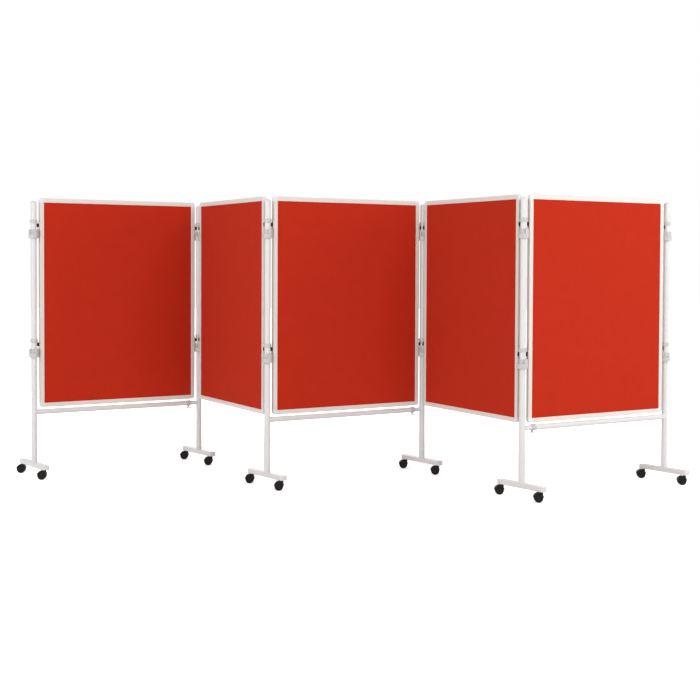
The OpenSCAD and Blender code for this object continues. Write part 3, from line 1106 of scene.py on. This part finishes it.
@dataclass(frozen=True)
class Tubes:
    """The welded steel tubes of a stand.

    Attributes:
        post, post_wall, post_lip: Outer radius, wall and softened rims of the posts.
        post_low, post_high: Heights of a post's ends.
        rail, rail_inner: Radii of the rail.
        stub, stub_inner: Radii of the stub on which the rail slides.
        rail_height: Height of the rail's axis.
        stub_reach: Distance from the post's axis to the stub's end inside the rail.
        stub_show: Length of the stub in sight.
        foot: Width and height of a foot bar.
        foot_wall, foot_round: Its wall and the radius of its edges.
        foot_low: Height of its underside.
        foot_length: Its length.
        arm_lip: Cut of the softened rims of the rail and the stub.
        weld: Radius of a weld bead.
        post_ripples, arm_ripples: Ripples of the bead round a post and round a rail.
    """

    post: float = 16.85 * MM
    post_wall: float = 2 * MM
    post_lip: float = 0.4 * MM
    post_low: float = 81 * MM
    post_high: float = 1568 * MM
    rail: float = 15 * MM
    rail_inner: float = 12.55 * MM
    stub: float = 12.5 * MM
    stub_inner: float = 10.5 * MM
    rail_height: float = 369 * MM
    stub_reach: float = 121.85 * MM
    stub_show: float = 45 * MM
    foot: Span = (40 * MM, 26 * MM)
    foot_wall: float = 2 * MM
    foot_round: float = 4 * MM
    foot_low: float = 55 * MM
    foot_length: float = 344 * MM
    arm_lip: float = 0.5 * MM
    weld: float = 1.7 * MM
    post_ripples: int = 26
    arm_ripples: int = 20

    def post_skins(self, count: int = 72) -> list[Skin]:
        """A post about Z, and the weld bead round its foot, of count points."""
        inner = self.post - self.post_wall
        body = tube(self.post, inner, self.post_low, self.post_high, self.post_lip, count=64)
        outward = level(circle(1, count), 0)
        upward = np.broadcast_to((0.0, 0.0, 1.0), outward.shape)
        path = outward * self.post + upward * self.post_low
        return [body, bead(path, outward, upward, self.weld, self.post_ripples)]

    def saddle(self, radius: float) -> Array:
        """The curve on which a tube about X meets the skin of a post on the origin's axis.

        At the width y across the tube, the post's skin is at x = sqrt(post ** 2 - y ** 2).
        """
        y = circle(radius, HOOP)[:, 0]
        return hoop(radius, np.sqrt(self.post**2 - y**2))

    def arm_skins(self, outer: float, inner: float, end: float) -> list[Skin]:
        """A tube about X from the post to x = end, and the weld bead at the post.

        Args:
            outer, inner: Its radii.
            end: Where its other end is.
        """
        lip, path = self.arm_lip, self.saddle(outer)
        rows = [self.saddle(inner), path, hoop(outer, end - lip), hoop(outer - lip, end),
                hoop(inner + lip, end), hoop(inner, end - lip)]
        outward = path * (0, 1, 1) / outer
        onward = np.broadcast_to((1.0, 0.0, 0.0), path.shape)
        return [Skin(np.stack(rows), ring=True),
                bead(path, outward, onward, self.weld, self.arm_ripples)]

    def foot_skin(self) -> Skin:
        """A foot bar along Y, under a post on the origin's axis."""
        outer = soften(rectangle(*self.foot), self.foot_round)
        inner = inset(outer, self.foot_wall)
        end = self.foot_length / 2
        rows = [level(outer, -end), level(outer, end), level(inner, end), level(inner, -end)]
        lie = move(z=self.foot_low + self.foot[1] / 2) @ turn(Axis.X, 90)
        return Skin(np.stack(rows), ring=True).moved(lie)


@dataclass(frozen=True)
class Caps:
    """The moulded caps of the posts and plugs of the foot bars.

    Attributes:
        brim: Height of the post cap's straight rim.
        dome: Height of its dome.
        grip, seat: Length of it inside the post, and its gap to the post's wall.
        edge: Cut of its softened edges.
        plug: Depth of a foot plug at its middle.
        bow: Radius of the plug's bowed face.
    """

    brim: float = 2 * MM
    dome: float = 8 * MM
    grip: float = 18 * MM
    seat: float = 0.05 * MM
    edge: float = 0.4 * MM
    plug: float = 5 * MM
    bow: float = 45 * MM

    def cap_skin(self, tubes: Tubes) -> Skin:
        """A post cap about Z, its rim on z = 0.

        The dome is the part of a sphere over the rim: with the rim's radius a and the height
        h, the sphere's radius is (a * a + h * h) / (2 h). It is drawn from just inside the rim
        to just off the top.
        """
        a, h, edge = tubes.post, self.dome, self.edge
        sphere = (a * a + h * h) / (2 * h)
        steep = math.asin(a / sphere)
        near_rim, near_top, rows = 0.98, 0.02, 12
        t = np.linspace(steep * near_rim, near_top, rows)
        dome = np.column_stack([sphere * np.sin(t), self.brim + h - sphere * (1 - np.cos(t))])
        inner = a - tubes.post_wall - self.seat
        rim = np.array([(inner - edge, -self.grip), (inner, edge - self.grip), (inner, 0),
                        (a - edge, 0), (a, edge), (a, self.brim - edge), (a - edge / 4, self.brim)])
        return revolve(np.concatenate([rim, dome]), count=64)

    def plug_skin(self, tubes: Tubes) -> Skin:
        """A foot plug on z = 0: the bar's outline, shrunk row by row under a bowed face.

        The face's height at x is plug - (bow - sqrt(bow ** 2 - x ** 2)).
        """
        outline = soften(rectangle(*tubes.foot), tubes.foot_round)
        shrink = np.array([1, 1, 0.992, 0.97, 0.92, 0.75, 0.5, 0.25, 0.01])
        lift = np.array([0, 0.55, 0.8, 0.95, 1, 1, 1, 1, 1])
        rows = outline * shrink[:, None, None]
        face = self.plug - self.bow + np.sqrt(self.bow**2 - rows[..., 0] ** 2)
        return Skin(np.concatenate([rows, (face * lift[:, None])[..., None]], axis=-1))


# The thumb screw's parts, in millimetres: radius and height up the hub, and a wing's outline.
THUMB_HUB = ((5.9, 0), (6.5, 0.6), (6.3, 2), (5.3, 5), (5, 7.6), (4.2, 8.7), (2, 9))
THUMB_WING = ((3.5, 2), (10.5, 2), (14.8, 6.5), (14.8, 14.8), (9.8, 14.8), (3.5, 7))


@dataclass(frozen=True)
class Screws:
    """The grub screws of the collars and the thumb screw of the rail.

    Attributes:
        radius: Radius of a grub screw.
        seat: Gap between its inner end and the post.
        socket: Distance from its axis to a flat of its hexagon socket.
        socket_depth: Depth of the socket.
        heights: Each grub screw's height over the connector's foot, and its outer end.
        turned: Where the grub screws point, in degrees from the panel.
        lip: Cut of the softened ends of all screws.
        thumb_place: The thumb screw's place on the rail, from the rail's middle.
        thumb_tilt: Its turn about the rail, in degrees from straight up.
        thumb_tip: Distance from the rail's axis to its tip.
        shaft: Radius of its shaft.
        hub: Distance from the rail's axis to its hub's foot.
        wing, wing_round, wing_edge: Thickness of its wings, and the radii of their corners and
            edges.
    """

    radius: float = 2.95 * MM
    seat: float = 0.05 * MM
    socket: float = 1.3 * MM
    socket_depth: float = 3 * MM
    heights: tuple[Span, Span] = ((12.5 * MM, 27.5 * MM), (96 * MM, 20.9 * MM))
    turned: float = -125
    lip: float = 0.4 * MM
    thumb_place: float = 458.15 * MM
    thumb_tilt: float = 160
    thumb_tip: float = 12.55 * MM
    shaft: float = 3 * MM
    hub: float = 22 * MM
    wing: float = 3.8 * MM
    wing_round: float = 3.2 * MM
    wing_edge: float = 1.3 * MM

    def grub_skins(self, tubes: Tubes) -> list[Skin]:
        """The two grub screws of a connector, from the post's skin outwards.

        The socket's outline at the angle t is r = flat / cos(t'), with t' the angle from the
        middle of the nearest flat.
        """
        r, lip, count = self.radius, self.lip, 24
        from_flat = (round_angles(count) + np.pi / 6) % (np.pi / 3) - np.pi / 6
        hexagon = self.socket / np.cos(from_flat)
        outwards = turn(Axis.Z, self.turned) @ turn(Axis.Y, 90) @ move(z=tubes.post)
        skins = []
        for height, end in self.heights:
            length = end - tubes.post
            rows = [(r, self.seat), (r, length - lip), (r - lip, length), (hexagon, length),
                    (hexagon, length - self.socket_depth)]
            skins.append(revolve(rows, count).moved(move(z=height) @ outwards))
        return skins

    def thumb_skins(self) -> list[Skin]:
        """The thumb screw along Z: shaft, waisted hub and two wings."""
        r, tip, lip = self.shaft, self.thumb_tip, self.lip
        shaft = revolve([(r - lip, tip), (r, tip + lip), (r, self.hub)], count=24)
        hub = revolve(np.array(THUMB_HUB) * MM, count=32).moved(move(z=self.hub))
        outline = soften(np.array(THUMB_WING) * MM, self.wing_round, steps=5)
        wing = pillow(outline, -self.wing / 2, self.wing / 2, self.wing_edge, steps=4)
        wing = wing.moved(move(z=self.hub) @ turn(Axis.X, 90))
        return [shaft, hub, wing, wing.moved(turn(Axis.Z, 180))]


class StandWorks(Works):
    """Builds the tubes, caps and screws of the three stands."""

    tubes = Tubes()
    caps = Caps()
    screws = Screws()

    def build(self, stand: Stand) -> None:
        """Makes every piece of one stand but its casters and collars.

        The rail leads from the first post to the stub on the second, but the right-hand
        stand's is turned about, with its stub at the inner post.
        """
        posts = self.row.post_places(stand.panel)
        ends = posts[::-1] if stand is Stand.RIGHT else posts
        fixed, loose = (end @ move(z=self.tubes.rail_height) for end in ends)
        self.build_tubes(stand, posts, fixed, loose)
        self.build_caps(stand, posts)
        self.build_screws(stand, posts, fixed)

    def build_tubes(self, stand: Stand, posts: list[Array], fixed: Array, loose: Array) -> None:
        """Makes the posts with the stub, the rail and the foot bars.

        Args:
            stand: The stand.
            posts: The posts' matrices.
            fixed, loose: The matrices of the rail's end and the stub, +X along the rail.
        """
        key, body, tubes = stand.key, stand.body, self.tubes
        uprights = Piece(f"{key}_tubes", body, "powder_coat", (f"{key}_posts",))
        rail = Piece(f"{key}_rail_tube", body, "powder_coat", (f"{key}_rail",))
        feet = Piece(f"{key}_feet", body, "powder_coat", (f"{key}_foot_bars",))
        for post in posts:
            uprights.add(*tubes.post_skins(), at=post)
            feet.add(tubes.foot_skin(), at=post)
        uprights.add(*tubes.arm_skins(tubes.stub, tubes.stub_inner, tubes.stub_reach), at=loose)
        reach = self.row.pitch(stand.panel) - tubes.post - tubes.stub_show
        rail.add(*tubes.arm_skins(tubes.rail, tubes.rail_inner, reach), at=fixed)
        for piece in (uprights, rail, feet):
            piece.build(self.finishes["paint"])

    def build_caps(self, stand: Stand, posts: list[Array]) -> None:
        """Makes the post caps and the foot plugs."""
        tubes = self.tubes
        caps = Piece(f"{stand.key}_caps", stand.body, "grey_cap", (f"{stand.key}_end_caps",))
        middle = tubes.foot_low + tubes.foot[1] / 2
        end = move(y=tubes.foot_length / 2, z=middle) @ turn(Axis.X, -90)
        for post in posts:
            caps.add(self.caps.cap_skin(tubes), at=post @ move(z=tubes.post_high))
            for side in (0, 180):
                caps.add(self.caps.plug_skin(tubes), at=post @ turn(Axis.Z, side) @ end)
        caps.build(self.finishes["cap"])

    def build_screws(self, stand: Stand, posts: list[Array], fixed: Array) -> None:
        """Makes the collars' grub screws and the rail's thumb screw."""
        key, screws = stand.key, self.screws
        small = Piece(f"{key}_screws", stand.body, "zinc_screw", (f"{key}_fasteners",))
        for post in posts:
            for place in self.row.connector_places(post):
                small.add(*screws.grub_skins(self.tubes), at=place)
        place = fixed @ move(x=self.row.pitch(stand.panel) / 2 + screws.thumb_place)
        small.add(*screws.thumb_skins(), at=place @ turn(Axis.X, screws.thumb_tilt))
        small.build(self.finishes["zinc"])


# ---------- casters ----------


HOOD = 33  # points along half a turn of a hood or a web
BOSS_CIRCLES = (0.02, 0.25, 0.5, 0.7, 0.85, 1.0)  # of a boss' underside, as shares of its radius

# A boss' neck, in millimetres: how far inside its skin, and how far under its top.
BOSS_NECK = ((0, 2.4), (1, 1.6), (1.4, 0.5), (1.9, 0))

# A wheel's outer face, in millimetres. Each point is so far under the tread, or so far from the
# axis, and so deep under the face.
WHEEL_RIM = ((1.3, 0.9), (3, 0.2), (4.2, 0), (5.4, 0.5), (6.2, 2.2), (6.8, 3.2))
WHEEL_HUB = ((10.2, 3.4), (9.4, 2.6), (9, 1), (8.2, 0.3), (6, 0), (0.4, 0))


@dataclass(frozen=True)
class Caster:
    """A twin-wheel caster, with its stem on the origin's axis and its wheels trailing to -X.

    Attributes:
        trail: Distance from the stem's axis back to the axle.
        wheel, wheel_width: Radius and width of a wheel.
        swell: How far the tread bulges.
        ribs, rib: Number and height of the ribs on a wheel's outer face.
        gap: Distance of a wheel's inner face from the middle.
        axle: Radius of the axle.
        hood_inner, hood_outer, hood_width: Size of the hood over the wheels.
        hood_foot, hood_edge: Height of the hood's ends over the axle, and radius of its edges.
        web, web_edge: Thickness of the web between the wheels, and radius of its edges.
        web_inset: How far the web's rim lies under the hood's skin.
        web_hub: Radius of the web round the axle.
        boss, boss_low, boss_high: Radius and heights of the boss round the stem.
        stem, stem_high: Radius of the stem and the height of its end.
        stem_root, stem_tip: Its length inside the boss, and the chamfer at its end.
    """

    trail: float = 16 * MM
    wheel: float = 24 * MM
    wheel_width: float = 17 * MM
    swell: float = 0.5 * MM
    ribs: int = 8
    rib: float = 1.4 * MM
    gap: float = 3.5 * MM
    axle: float = 3 * MM
    hood_inner: float = 24.9 * MM
    hood_outer: float = 27.1 * MM
    hood_width: float = 37 * MM
    hood_foot: float = 3 * MM
    hood_edge: float = 0.7 * MM
    web: float = 5.6 * MM
    web_edge: float = 0.4 * MM
    web_inset: float = 1 * MM
    web_hub: float = 9 * MM
    boss: float = 8.5 * MM
    boss_low: float = 28 * MM
    boss_high: float = 54.7 * MM
    stem: float = 5 * MM
    stem_high: float = 75 * MM
    stem_root: float = 1.7 * MM
    stem_tip: float = 1 * MM

    def wheel_skin(self) -> Skin:
        """A wheel about Z, its inner face on z = 0.

        The tread swells by a sine of its width. The dished outer face has ribs: its height
        rises by the sixth power of (1 + cos(ribs * angle)) / 2.
        """
        r, w, swell, count = self.wheel, self.wheel_width, self.swell, 96
        s = np.linspace(0.10, 0.90, 7)
        tread = np.column_stack([r - swell + swell * np.sin(np.pi * s), s * w])
        rib = self.rib * (0.5 + 0.5 * np.cos(self.ribs * round_angles(count))) ** 6
        inner = [(self.axle + 0.1 * MM, 1.2 * MM), (0.36 * r, 1.2 * MM), (0.40 * r, 0.2 * MM),
                 (r - 2.2 * MM, 0), (r - 1.1 * MM, 0.5 * MM)]
        rim = [(r - under * MM, w - deep * MM) for under, deep in WHEEL_RIM]
        dish = [(r - 8 * MM, w - 3.4 * MM + rib), (11.5 * MM, w - 3.6 * MM + rib)]
        hub = [(radius * MM, w - deep * MM) for radius, deep in WHEEL_HUB]
        return revolve([*inner, *tread, *rim, *dish, *hub], count)

    def wheel_skins(self) -> list[Skin]:
        """Both wheels and the axle, about the axle as Z."""
        one = self.wheel_skin().moved(move(z=self.gap))
        reach = self.gap + self.wheel_width / 2
        rod = revolve([(self.axle, -reach), (self.axle, reach)], count=24)
        return [one, one.moved(turn(Axis.X, 180)), rod]

    def hood_skin(self) -> Skin:
        """The hood about the axle as Z: a band between two arcs, with rounded edges."""
        outer, inner = self.hood_outer, self.hood_inner
        low, lower = (math.asin(self.hood_foot / radius) for radius in (outer, inner))
        band = [arc(outer, np.linspace(low, np.pi - low, HOOD)),
                arc(inner, np.linspace(np.pi - lower, lower, HOOD))]
        half = self.hood_width / 2
        return pillow(np.concatenate(band), -half, half, self.hood_edge, steps=4)

    def web_skins(self) -> list[Skin]:
        """The web about the axle as Z: a half disc under the hood, and the hub's disc."""
        half_disc = arc(self.hood_outer - self.web_inset, np.linspace(0, np.pi, HOOD))
        half = self.web / 2
        return [pillow(outline, -half, half, self.web_edge)
                for outline in (half_disc, circle(self.web_hub, 40))]

    def boss_skin(self) -> Skin:
        """The boss about the stem, hollowed by the wheels' room.

        Its underside at x is as high as the hood's inner skin there, which is
        wheel + sqrt(hood_inner ** 2 - (x + trail) ** 2), or as boss_low where that is higher.
        It is drawn in circles from the middle out.
        """
        count = 48
        rows = []
        for radius in np.array(BOSS_CIRCLES) * self.boss:
            x = circle(radius, count)[:, 0]
            room = np.sqrt(np.clip(self.hood_inner**2 - (x + self.trail) ** 2, 0, None))
            rows.append((radius, np.maximum(self.wheel + room, self.boss_low)))
        rows += [(self.boss - inwards * MM, self.boss_high - under * MM)
                 for inwards, under in BOSS_NECK]
        return revolve(rows, count)

    def fork_skins(self) -> list[Skin]:
        """The hood, web, boss and stem, in the caster's own frame."""
        axle, r, tip, high = self.axle_place(), self.stem, self.stem_tip, self.stem_high
        profile = [(r, self.boss_high - self.stem_root), (r, high - tip), (r - tip, high)]
        about_axle = [self.hood_skin(), *self.web_skins()]
        return [*(skin.moved(axle) for skin in about_axle), self.boss_skin(),
                revolve(profile, count=32)]

    def axle_place(self) -> Array:
        """The matrix of the axle: its Z lies across the caster, its Y is up."""
        return move(x=-self.trail, z=self.wheel) @ turn(Axis.X, 90)


class CasterWorks(Works):
    """Builds the twelve casters."""

    caster = Caster()

    def build(self, post: int, end: str) -> None:
        """Makes the caster at one end of one post's foot.

        Args:
            post: The post's number, from 1.
            end: One of ENDS.
        """
        key = f"caster_{post}_{end}"
        place = move(*self.row.stems[post, end])
        fork = Piece(f"{key}_hood", key, "caster_body", (f"{key}_fork",))
        fork.add(*self.caster.fork_skins(), at=place)
        fork.build(self.finishes["caster_body"])
        turning = f"wheels_{post}_{end}"
        wheels = Piece(f"{key}_rollers", turning, "caster_wheel", (f"{key}_wheels",))
        wheels.add(*self.caster.wheel_skins(), at=place @ self.caster.axle_place())
        wheels.build(self.finishes["tyre"])


# ---------- studio ----------


WHITE = (1, 1, 1, 1)


def seen(net: Network) -> Socket:
    """Adds a value that is 1 where a ray comes from the eye, a mirror or glass, else 0."""
    path = net.node("ShaderNodeLightPath").outputs
    value = path["Is Camera Ray"]
    for kind in ("Is Glossy Ray", "Is Transmission Ray"):
        value = net.math("MAXIMUM", value, path[kind])
    return value


@dataclass(frozen=True)
class Lamp:
    """A square soft box.

    Attributes:
        name: Its name.
        spot: Its centre.
        target: The point that it faces.
        size: Its side in metres.
        power: Its power in watts.
    """

    name: str
    spot: Triple
    target: Triple
    size: float
    power: float

    def hang(self) -> None:
        """Adds the lamp to the scene."""
        data = bpy.data.lights.new(self.name, "AREA")
        data.shape = "SQUARE"
        data.size = self.size
        data.energy = self.power
        backwards = np.array(self.spot) - np.array(self.target)
        backwards /= np.linalg.norm(backwards)
        right = np.cross((0, 0, 1), backwards)
        right /= np.linalg.norm(right)
        up = np.cross(backwards, right)
        pose = np.eye(4)
        pose[:3, :4] = np.column_stack([right, up, backwards, self.spot])
        add_object(self.name, data, pose)


@dataclass(frozen=True)
class Studio:
    """The camera, the lamps, the pale floor and the white surroundings.

    Attributes:
        lens, sensor: Focal length and width of the frame, in millimetres.
        eye: The camera's place.
        pitch: How far it looks down, in degrees.
        roll: Its turn about its own axis, in degrees.
        sight: How far it sees, in metres.
        shift: The frame's shift up, as a share of its width.
        daylight: Strength of the even light that falls on the object.
        floor_size: The floor's side in metres.
        floor_grey: How pale the floor is.
        glow_span, glow: Distances from the middle of the floor, and what it glows to the eye
            there: less near the object, so that the shadow stays.
        lamps: The lamps.
    """

    lens: float = 73.22
    sensor: float = 36.0
    eye: Triple = (0.012, -8.093, 1.231)
    pitch: float = 1.895
    roll: float = 0.242
    sight: float = 100.0
    shift: float = -40 / 700
    daylight: float = 0.54
    floor_size: float = 60.0
    floor_grey: float = 0.86
    glow_span: Span = (1.2, 3.0)
    glow: Span = (0.45, 1.0)
    lamps: tuple[Lamp, ...] = (
        Lamp("key", (3.2, -5.0, 4.2), (0.3, 0, 0.8), 3.0, 162),
        Lamp("fill", (-5.0, -5.0, 3.2), (-0.3, 0, 0.8), 3.5, 207),
        Lamp("side", (5.0, -1.0, 2.2), (1.0, 0.2, 1.0), 2.5, 52),
        Lamp("back", (-0.8, 6.0, 3.6), (0, 0, 0.8), 4.0, 130),
    )

    def camera(self) -> None:
        """Sets up the camera, looking along +Y."""
        data = bpy.data.cameras.new("camera")
        data.lens = self.lens
        data.sensor_width = self.sensor
        data.shift_y = self.shift
        data.clip_end = self.sight
        aim = move(*self.eye) @ turn(Axis.X, 90 - self.pitch) @ turn(Axis.Z, self.roll)
        bpy.context.scene.camera = add_object("camera", data, aim)

    def surroundings(self) -> None:
        """White to the eye, and an even pale light on the object."""
        world = bpy.data.worlds.new("surroundings")
        world.use_nodes = True
        bpy.context.scene.world = world
        net = Network(world.node_tree)
        strength = net.ramp(seen(net), (0.0, 1.0), (self.daylight, 1.0))
        net.feed(world.node_tree.nodes["Background"], {"Color": WHITE, "Strength": strength})

    def floor(self) -> None:
        """A pale floor whose lit part reads white, and which keeps the object's shadow."""
        mesh = bpy.data.meshes.new("floor")
        corners = np.array([(-1, -1, 0), (1, -1, 0), (1, 1, 0), (-1, 1, 0)]) * self.floor_size / 2
        mesh.from_pydata(corners.tolist(), [], [(0, 1, 2, 3)])
        made, net, shader = blank_material("floor")
        away = net.node("ShaderNodeVectorMath", {0: net.place()}, operation="LENGTH")
        glow = net.ramp(away.outputs["Value"], self.glow_span, self.glow,
                        interpolation_type="SMOOTHSTEP")
        grey = self.floor_grey
        net.feed(shader, {
            "Base Color": (grey, grey, grey, 1), "Roughness": 0.9, "Specular IOR Level": 0.0,
            "Emission Color": WHITE, "Emission Strength": net.math("MULTIPLY", glow, seen(net)),
        })
        mesh.materials.append(made)
        add_object("floor", mesh)

    def build(self) -> None:
        """Sets the whole stage."""
        bpy.context.scene.view_settings.view_transform = "Standard"
        self.camera()
        self.surroundings()
        self.floor()
        for lamp in self.lamps:
            lamp.hang()


# ---------- build ----------


NODE_FINISH = {
    "posts": "paint", "foot_bars": "paint", "rail": "paint", "end_caps": "cap",
    "collars": "collar", "swivel_rings": "collar", "fasteners": "zinc", "hooks": "hook",
    "board": "felt", "frame": "profile", "fork": "caster_body", "wheels": "tyre",
}


def dress_nodes(finishes: Finishes) -> None:
    """Gives every node that stays in view its finish, chosen by the end of its name."""
    for name, thing in frame["nodes"].items():
        ends = [end for end in NODE_FINISH if name.endswith("_" + end)]
        finish = finishes[NODE_FINISH[max(ends, key=len)]]
        for place in thing.material_slots:
            place.material = finish
        LOG.info("%s: %s", name, finish.name)


def main() -> None:
    """Builds the stage, the finishes and every piece, in that order."""
    logging.basicConfig(level=logging.INFO, format="%(name)s: %(message)s")
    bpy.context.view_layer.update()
    Studio().build()
    finishes = make_finishes()
    dress_nodes(finishes)
    row = Row()
    panels = PanelWorks(row, finishes)
    hooks = HookWorks(row, finishes)
    for panel in Panel:
        panels.build(panel)
        hooks.build(panel)
    stands = StandWorks(row, finishes)
    for stand in Stand:
        stands.build(stand)
    casters = CasterWorks(row, finishes)
    for post, end in row.stems:
        casters.build(post, end)


if __name__ == "__main__":
    main()
